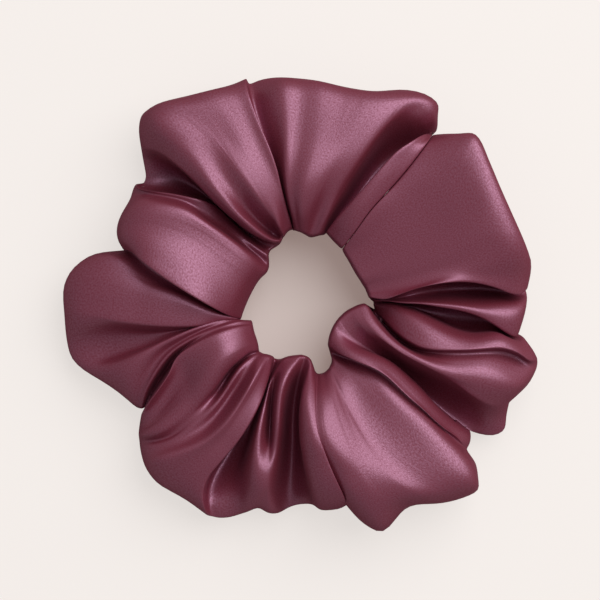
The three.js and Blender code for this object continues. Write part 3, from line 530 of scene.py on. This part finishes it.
# How the edges turn: at a fold's edge, and where the strip's own edges are turned in and sewn.
EDGE_TURN = 0.0009
MOST_OF_GAP = 0.4
SEAM_ALLOWANCE = 0.006
SEAM_TURN = 0.0010
SEAM_GAP = 0.0003
SEAM_POINTS = 3
TUCK_TURNS = 1.5


def smooth_run(points, count_per_span):
    """Points along smooth lines through rows of control points, with as many steps in each
    span as asked. The lines are cubic, and their tangents weigh the shorter neighbour more,
    so that a line doesn't swing past its points."""
    points = np.asarray(points, float)
    spans = np.diff(points, axis=0)
    lengths = np.maximum(np.linalg.norm(spans, axis=-1, keepdims=True), SHORTEST_STEP)
    slopes = spans / lengths
    tangents = np.empty_like(points)
    tangents[0], tangents[-1] = slopes[0], slopes[-1]
    before, after = lengths[:-1], lengths[1:]
    tangents[1:-1] = (slopes[:-1] * after + slopes[1:] * before) / (before + after)
    run = []
    for i, count in enumerate(count_per_span):
        for step in range(count):
            t = step / count
            h00, h10 = 2 * t**3 - 3 * t**2 + 1, t**3 - 2 * t**2 + t
            h01, h11 = -2 * t**3 + 3 * t**2, t**3 - t**2
            run.append(
                h00 * points[i] + h01 * points[i + 1]
                + (h10 * tangents[i] + h11 * tangents[i + 1]) * lengths[i]
            )
    run.append(points[-1])
    return np.array(run)


def spread(line, count):
    """The line's points again at steps along its length, closer together near its two ends."""
    reach = np.concatenate([[0], np.cumsum(np.linalg.norm(np.diff(line, axis=0), axis=1))])
    t = np.linspace(0, 1, count)
    wanted = (t - RIM_CROWDING * np.sin(2 * math.pi * t) / (2 * math.pi)) * reach[-1]
    return np.stack([np.interp(wanted, reach, line[:, axis]) for axis in range(3)], axis=1)


def section(fold_line):
    """One whole turn of cloth round the tube: from the turned-in edge at the rim over the top
    to the hole, and back underneath to the other turned-in edge."""
    top = np.array([from_pixel(*point) for point in fold_line])
    top = spread(smooth_run(top, [STEPS_PER_SPAN] * (len(top) - 1)), TOP_STATIONS)
    shoulder, rim = top[0], top[-1]
    middle = TOP_STATIONS // 2
    peaks = [
        i for i in range(middle, TOP_STATIONS - 1)
        if top[i, 2] >= max(top[i - 1, 2], top[i + 1, 2])
    ]
    crest = peaks[-1] if peaks else middle
    drop = top[crest, 2] - rim[2]
    if drop > LEAST_DROP:
        fall = np.clip((top[crest:, 2] - rim[2]) / drop, 0, 1)
        rim_level = max(rim[2], RIM_SHARE * top[crest, 2])
        top[crest:, 2] = rim_level + fall ** RIM_FIRMNESS * (top[crest, 2] - rim_level)
    outwards = (rim - shoulder) * (1, 1, 0)
    outwards /= np.linalg.norm(outwards)
    lift = max(0.0, RIDGE_LEVEL - top[middle, 2]) * VALLEY_LIFT_SHARE
    collar = [
        shoulder * (1, 1, level) + outwards * shift
        for level, shift in zip(COLLAR_LEVELS, COLLAR_SHIFTS)
    ]
    base = shoulder + (rim - shoulder) * np.array(UNDERSIDE_SHARES)[:, None]
    base[:, 2] = np.array(UNDERSIDE_RISE) + lift
    up = np.array((0, 0, 1))
    turned_in = rim - outwards * SEAM_ALLOWANCE
    turning = rim - outwards * SEAM_TURN
    return np.array(
        [turned_in + up * SEAM_GAP * 2, turning + up * SEAM_GAP, rim + up * SEAM_GAP]
        + list(top[::-1][1:])
        + collar
        + list(base)
        + [rim - up * SEAM_GAP, turning - up * SEAM_GAP, turned_in - up * SEAM_GAP * 2]
    )


def towards(line, neighbour, distance):
    """The line moved a small distance towards its neighbour, never as far as halfway."""
    gap = neighbour - line
    lengths = np.maximum(np.linalg.norm(gap, axis=1, keepdims=True), SHORTEST_STEP)
    return line + gap * np.minimum(distance / lengths, MOST_OF_GAP)


def turned_end(edge, neighbour):
    """The last of the cloth past the closing seam: down into the tube and back along its inside."""
    inwards = edge.mean(axis=0) - edge
    inwards /= np.linalg.norm(inwards, axis=1, keepdims=True)
    return [
        towards(edge, neighbour, SEAM_ALLOWANCE) + inwards * SEAM_TURN * TUCK_TURNS,
        edge + inwards * SEAM_TURN,
        edge + inwards * SEAM_GAP / 2,
        towards(edge, neighbour, SEAM_TURN),
    ]


traced = [section(points) for _, points in FOLD_LINES]
sections = turned_end(traced[0], traced[1])
for i in range(1, len(traced) - 1):
    kind = FOLD_LINES[i][0]
    if kind == "edge":
        sections.append(towards(traced[i], traced[i - 1], EDGE_TURN))
    sections.append(traced[i])
    if kind == "edge":
        sections.append(towards(traced[i], traced[i + 1], EDGE_TURN))
sections += turned_end(traced[-1], traced[-2])[::-1]
sections = np.array(sections)
gaps = np.linalg.norm(np.diff(sections, axis=0), axis=2).mean(axis=1)
columns_per_gap = [int(np.clip(round(gap / COLUMN_SPACING), 1, MOST_COLUMNS)) for gap in gaps]
cloth_grid = smooth_run(sections, columns_per_gap)


def skin(name, rows, closed=False):
    """A mesh object whose faces join each row of points to the next. Closed rows make a tube.
    Its UV map holds metres on the flat cloth, along the rows and across them."""
    mesh = bmesh.new()
    chains = []
    for row in rows:
        corners = [mesh.verts.new(point) for point in row]
        following = corners[1:] + corners[:1] if closed else corners[1:]
        chains.append([mesh.edges.new(pair) for pair in zip(corners, following)])
    for here, following in zip(chains, chains[1:]):
        bmesh.ops.bridge_loops(mesh, edges=here + following)
    if closed:
        bmesh.ops.holes_fill(mesh, edges=chains[0] + chains[-1])
    bmesh.ops.recalc_face_normals(mesh, faces=mesh.faces)
    along = np.linalg.norm(np.diff(rows, axis=0), axis=2).mean(axis=1)
    across = np.linalg.norm(np.diff(rows, axis=1), axis=2).mean(axis=0)
    along = np.concatenate([[0], np.cumsum(along)])
    across = np.concatenate([[0], np.cumsum(across)])
    mesh.verts.index_update()
    flat_uv = mesh.loops.layers.uv.new("flat_metres")
    for face in mesh.faces:
        face.smooth = True
        for loop in face.loops:
            column, station = divmod(loop.vert.index, len(rows[0]))
            loop[flat_uv].uv = (along[column], across[station])
    data = bpy.data.meshes.new(name)
    mesh.to_mesh(data)
    mesh.free()
    piece = bpy.data.objects.new(name, data)
    bpy.context.collection.objects.link(piece)
    return piece


cover = skin("satin_cover", cloth_grid)
smooth = cover.modifiers.new("smooth", "SUBSURF")
smooth.levels = smooth.render_levels = 1

# The satin itself: matt thread bodies with shiny floats over them, a fine grain, and long
# soft pulls along the gathers.
THREAD_GRAIN = 0.00040
GRAIN_STRETCH = 0.7
GRAIN_LEAST, GRAIN_MOST = 0.25, 0.75
SHINE_LEAST, SHINE_MOST = 0.13, 0.39
GRAIN_DEPTH = 0.00003
PULL_LENGTH = 0.050
PULL_WIDTH = 0.006
PULL_DEPTH = 0.00025
satin = bpy.data.materials.new("woven_polyester_satin")
satin.use_nodes = True
tree = satin.node_tree
thread_body = tree.nodes["Principled BSDF"]
thread_body.inputs["Base Color"].default_value = linear("#6d2231")
thread_body.inputs["Roughness"].default_value = 0.7
thread_body.inputs["IOR"].default_value = 1.45
thread_body.inputs["Specular IOR Level"].default_value = 0.25
thread_body.inputs["Sheen Weight"].default_value = 0.1
thread_body.inputs["Sheen Roughness"].default_value = 0.4
thread_body.inputs["Sheen Tint"].default_value = linear("#b5637f")
float_shine = tree.nodes.new("ShaderNodeBsdfPrincipled")
float_shine.inputs["Base Color"].default_value = linear("#b68ca8")
float_shine.inputs["Metallic"].default_value = 1.0
float_shine.inputs["Roughness"].default_value = 0.44
float_shine.inputs["Specular Tint"].default_value = linear("#a05a76")
thread_uv = add_node(tree, "ShaderNodeUVMap", uv_map="flat_metres")
thread_scale = add_node(
    tree, "ShaderNodeMapping", [(thread_uv.outputs["UV"], "Vector")],
    Scale=(1 / THREAD_GRAIN, GRAIN_STRETCH / THREAD_GRAIN, 1),
)
grain = add_node(
    tree, "ShaderNodeTexNoise", [(thread_scale.outputs["Vector"], "Vector")],
    Scale=1.0, Detail=1.0, Roughness=0.5,
)
shine = add_node(
    tree, "ShaderNodeMapRange", [(grain.outputs["Fac"], "Value")],
    **{
        "From Min": GRAIN_LEAST, "From Max": GRAIN_MOST,
        "To Min": SHINE_LEAST, "To Max": SHINE_MOST,
    },
)
pull_scale = add_node(
    tree, "ShaderNodeMapping", [(thread_uv.outputs["UV"], "Vector")],
    Scale=(1 / PULL_WIDTH, 1 / PULL_LENGTH, 1),
)
pulls = add_node(
    tree, "ShaderNodeTexNoise", [(pull_scale.outputs["Vector"], "Vector")],
    Scale=1.0, Detail=2.0, Roughness=0.5, Distortion=0.4,
)
soft_relief = add_node(
    tree, "ShaderNodeBump", [(pulls.outputs["Fac"], "Height")], Strength=1.0, Distance=PULL_DEPTH,
)
relief = add_node(
    tree, "ShaderNodeBump",
    [(grain.outputs["Fac"], "Height"), (soft_relief.outputs["Normal"], "Normal")],
    Strength=1.0, Distance=GRAIN_DEPTH,
)
for shader in (thread_body, float_shine):
    tree.links.new(relief.outputs["Normal"], shader.inputs["Normal"])
woven = add_node(
    tree, "ShaderNodeMixShader",
    [
        (shine.outputs["Result"], 0), (thread_body.outputs["BSDF"], 1),
        (float_shine.outputs["BSDF"], 2),
    ],
)
tree.links.new(woven.outputs["Shader"], tree.nodes["Material Output"].inputs["Surface"])
cover.data.materials.append(satin)
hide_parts("satin_cover_left", "satin_cover_right")
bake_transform(cover)


# Long seam thread: one row of lockstitches through the two turned-in edges of the strip,
# right round the rim. It is polyester thread dyed to match, and only the inside of the
# tube shows it.
STITCH_LENGTH = 0.0026
STITCH_SHARES = (0.12, 0.5, 0.88)
THREAD_DIAMETER = 0.00035
SEAM_LINE = 0.0022
THREAD_SIDES = 6
NEARLY_UP = (0.13, 0.07, 1.0)
PLY_PITCH = 0.0007


def thread_tube(name, path, diameter):
    """A round thread along a path of points."""
    path = np.asarray(path, float)
    ahead = np.gradient(path, axis=0)
    ahead /= np.linalg.norm(ahead, axis=1, keepdims=True)
    aside = np.cross(ahead, NEARLY_UP)
    aside /= np.linalg.norm(aside, axis=1, keepdims=True)
    above = np.cross(aside, ahead)
    angles = np.arange(THREAD_SIDES) * 2 * math.pi / THREAD_SIDES
    rows = [
        point + (np.cos(angles)[:, None] * right + np.sin(angles)[:, None] * up) * diameter / 2
        for point, right, up in zip(path, aside, above)
    ]
    return skin(name, np.array(rows), closed=True)


def stitched(line, offsets, stitch_length):
    """A path that changes to the other side of the cloth after each stitch of the line."""
    reach = np.concatenate([[0], np.cumsum(np.linalg.norm(np.diff(line, axis=0), axis=1))])
    stitches = int(reach[-1] / stitch_length)
    path = []
    for stitch in range(stitches):
        side = 1 if stitch % 2 == 0 else -1
        for share in STITCH_SHARES:
            at = (stitch + share) / stitches * reach[-1]
            point = [np.interp(at, reach, line[:, axis]) for axis in range(3)]
            offset = [np.interp(at, reach, offsets[:, axis]) for axis in range(3)]
            path.append(np.array(point) + np.array(offset) * side)
    return np.array(path)


def banded(material_tree, shader, pitch, dark, light, **wave_settings):
    """Gives a shader slanting bands of two tones, as the plies of a thread or a braid show.
    It returns the node of the bands."""
    flat = add_node(material_tree, "ShaderNodeUVMap", uv_map="flat_metres")
    bands = add_node(
        material_tree, "ShaderNodeTexWave", [(flat.outputs["UV"], "Vector")],
        bands_direction="DIAGONAL", Scale=1 / pitch / math.pi / 2, **wave_settings,
    )
    tones = add_node(
        material_tree, "ShaderNodeMix", [(bands.outputs["Fac"], "Factor")], data_type="RGBA",
    )
    first, second = [socket for socket in tones.inputs if socket.type == "RGBA"]
    first.default_value = linear(dark)
    second.default_value = linear(light)
    mixed = [socket for socket in tones.outputs if socket.type == "RGBA"][0]
    material_tree.links.new(mixed, shader.inputs["Base Color"])
    return bands


upper_fold, lower_fold = cloth_grid[:, 1], cloth_grid[:, -2]
upper_hem, lower_hem = cloth_grid[:, 0], cloth_grid[:, -1]
hem_share = (SEAM_LINE - SEAM_TURN) / (SEAM_ALLOWANCE - SEAM_TURN)
fold_middle, hem_middle = (upper_fold + lower_fold) / 2, (upper_hem + lower_hem) / 2
seam_line = fold_middle * (1 - hem_share) + hem_middle * hem_share
seam_sides = np.tile((0, 0, SEAM_GAP * 2 + THREAD_DIAMETER), (len(seam_line), 1))
long_path = stitched(seam_line, seam_sides, STITCH_LENGTH)
long_seam = thread_tube("long_seam_stitches", long_path, THREAD_DIAMETER)
sewing_thread = bpy.data.materials.new("spun_polyester_sewing_thread")
sewing_thread.use_nodes = True
thread_tree = sewing_thread.node_tree
thread_shader = thread_tree.nodes["Principled BSDF"]
thread_shader.inputs["Roughness"].default_value = 0.6
thread_shader.inputs["Sheen Weight"].default_value = 0.3
banded(thread_tree, thread_shader, PLY_PITCH, "#4d1f2b", "#7a3a49")
long_seam.data.materials.append(sewing_thread)
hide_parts("long_seam_thread_left", "long_seam_thread_right")
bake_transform(long_seam)


# Closing seam thread: a row of slip stitches that closes the tube where the strip's two ends
# meet. It goes once round the tube inside the turned-in ends, in the same thread.
closing_line = traced[0][SEAM_POINTS:-SEAM_POINTS]
closing_inwards = closing_line.mean(axis=0) - closing_line
closing_inwards /= np.linalg.norm(closing_inwards, axis=1, keepdims=True)
along_strip = traced[1][SEAM_POINTS:-SEAM_POINTS] - closing_line
along_strip /= np.linalg.norm(along_strip, axis=1, keepdims=True)
closing_path = stitched(
    closing_line + closing_inwards * SEAM_TURN * 2,
    along_strip * (SEAM_GAP * 2 + THREAD_DIAMETER),
    STITCH_LENGTH,
)
closing_seam = thread_tube("closing_seam_stitches", closing_path, THREAD_DIAMETER)
closing_seam.data.materials.append(sewing_thread)
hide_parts("closing_seam_thread")
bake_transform(closing_seam)


# Elastic: a flat braid of cotton-covered rubber cords, knitted together side by side.
# It goes once round inside the tube and laps over its own start at the left.
elastic_low, elastic_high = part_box("elastic_loop")
ELASTIC_THICKNESS = 0.0009
ELASTIC_LAP = 0.014
LAP_CLEARANCE = 0.0003
LAP_BEARING = math.pi
ELASTIC_CORDS = 6
CORD_PROFILE = ((0.72, 0.06), (1, 0.3), (1, 0.7))
ELASTIC_COLUMNS = 160
BRAID_PITCH = 0.0012
BRAID_DEPTH = 0.0001
lap_step = ELASTIC_THICKNESS + LAP_CLEARANCE
elastic_width = elastic_high.z - elastic_low.z
elastic_rise = (elastic_low.z + elastic_high.z) / 2
elastic_reach = (elastic_high.y - elastic_low.y - lap_step - ELASTIC_THICKNESS) / 2
elastic_centre = (
    elastic_high.x - elastic_reach - lap_step / 2 - ELASTIC_THICKNESS / 2,
    (elastic_low.y + elastic_high.y) / 2,
)
lap_angle = ELASTIC_LAP / elastic_reach


def elastic_point(turn, outwards, rise):
    """A point of the band, by its angle from the start, and its place across the thickness
    and the width."""
    share = min(max((turn - lap_angle) / (2 * math.pi - lap_angle), 0), 1)
    reach = elastic_reach + share * share * (3 - 2 * share) * lap_step + outwards
    bearing = LAP_BEARING - lap_angle / 2 + turn
    return (
        elastic_centre[0] + math.cos(bearing) * reach,
        elastic_centre[1] + math.sin(bearing) * reach,
        elastic_rise + rise,
    )


cord_rise = elastic_width / ELASTIC_CORDS
outer_face = [
    (ELASTIC_THICKNESS / 2 * depth, -elastic_width / 2 + cord * cord_rise + cord_rise * share)
    for cord in range(ELASTIC_CORDS)
    for depth, share in CORD_PROFILE
]
band_profile = outer_face + [(-outwards, -rise) for outwards, rise in outer_face]
whole_turn = 2 * math.pi + lap_angle
band_rows = [
    [elastic_point(whole_turn * i / ELASTIC_COLUMNS, *place) for place in band_profile]
    for i in range(ELASTIC_COLUMNS + 1)
]
elastic = skin("braided_elastic", np.array(band_rows), closed=True)
braid = bpy.data.materials.new("braided_cotton_covered_elastic")
braid.use_nodes = True
braid_tree = braid.node_tree
braid_shader = braid_tree.nodes["Principled BSDF"]
braid_shader.inputs["Roughness"].default_value = 0.85
chevrons = banded(braid_tree, braid_shader, BRAID_PITCH, "#46232e", "#6d4350", Distortion=1.5)
braid_relief = add_node(
    braid_tree, "ShaderNodeBump", [(chevrons.outputs["Fac"], "Height")],
    Strength=0.6, Distance=BRAID_DEPTH,
)
braid_tree.links.new(braid_relief.outputs["Normal"], braid_shader.inputs["Normal"])
elastic.data.materials.append(braid)
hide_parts("elastic_loop")
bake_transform(elastic)


# Elastic join thread: a zigzag of machine stitches in the same dyed polyester thread,
# through both layers of the lap, each one through to the other face and back.
JOIN_PITCH = 0.002
JOIN_REACH = 0.0014
JOIN_DIAMETER = 0.0004
join_stitches = int(ELASTIC_LAP / JOIN_PITCH) - 1
stand_off = ELASTIC_THICKNESS / 2 + LAP_CLEARANCE + JOIN_DIAMETER / 2
join_path = []
for i in range(join_stitches):
    turn = lap_angle * (i + 1) / (join_stitches + 1)
    rise = JOIN_REACH if i % 2 == 0 else -JOIN_REACH
    faces = (-stand_off, lap_step + stand_off)
    for outwards in faces if i % 2 == 0 else faces[::-1]:
        join_path.append(elastic_point(turn, outwards, rise))
join_thread = thread_tube("elastic_join_stitches", join_path, JOIN_DIAMETER)
join_thread.data.materials.append(sewing_thread)
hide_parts("elastic_join_thread")
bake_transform(join_thread)
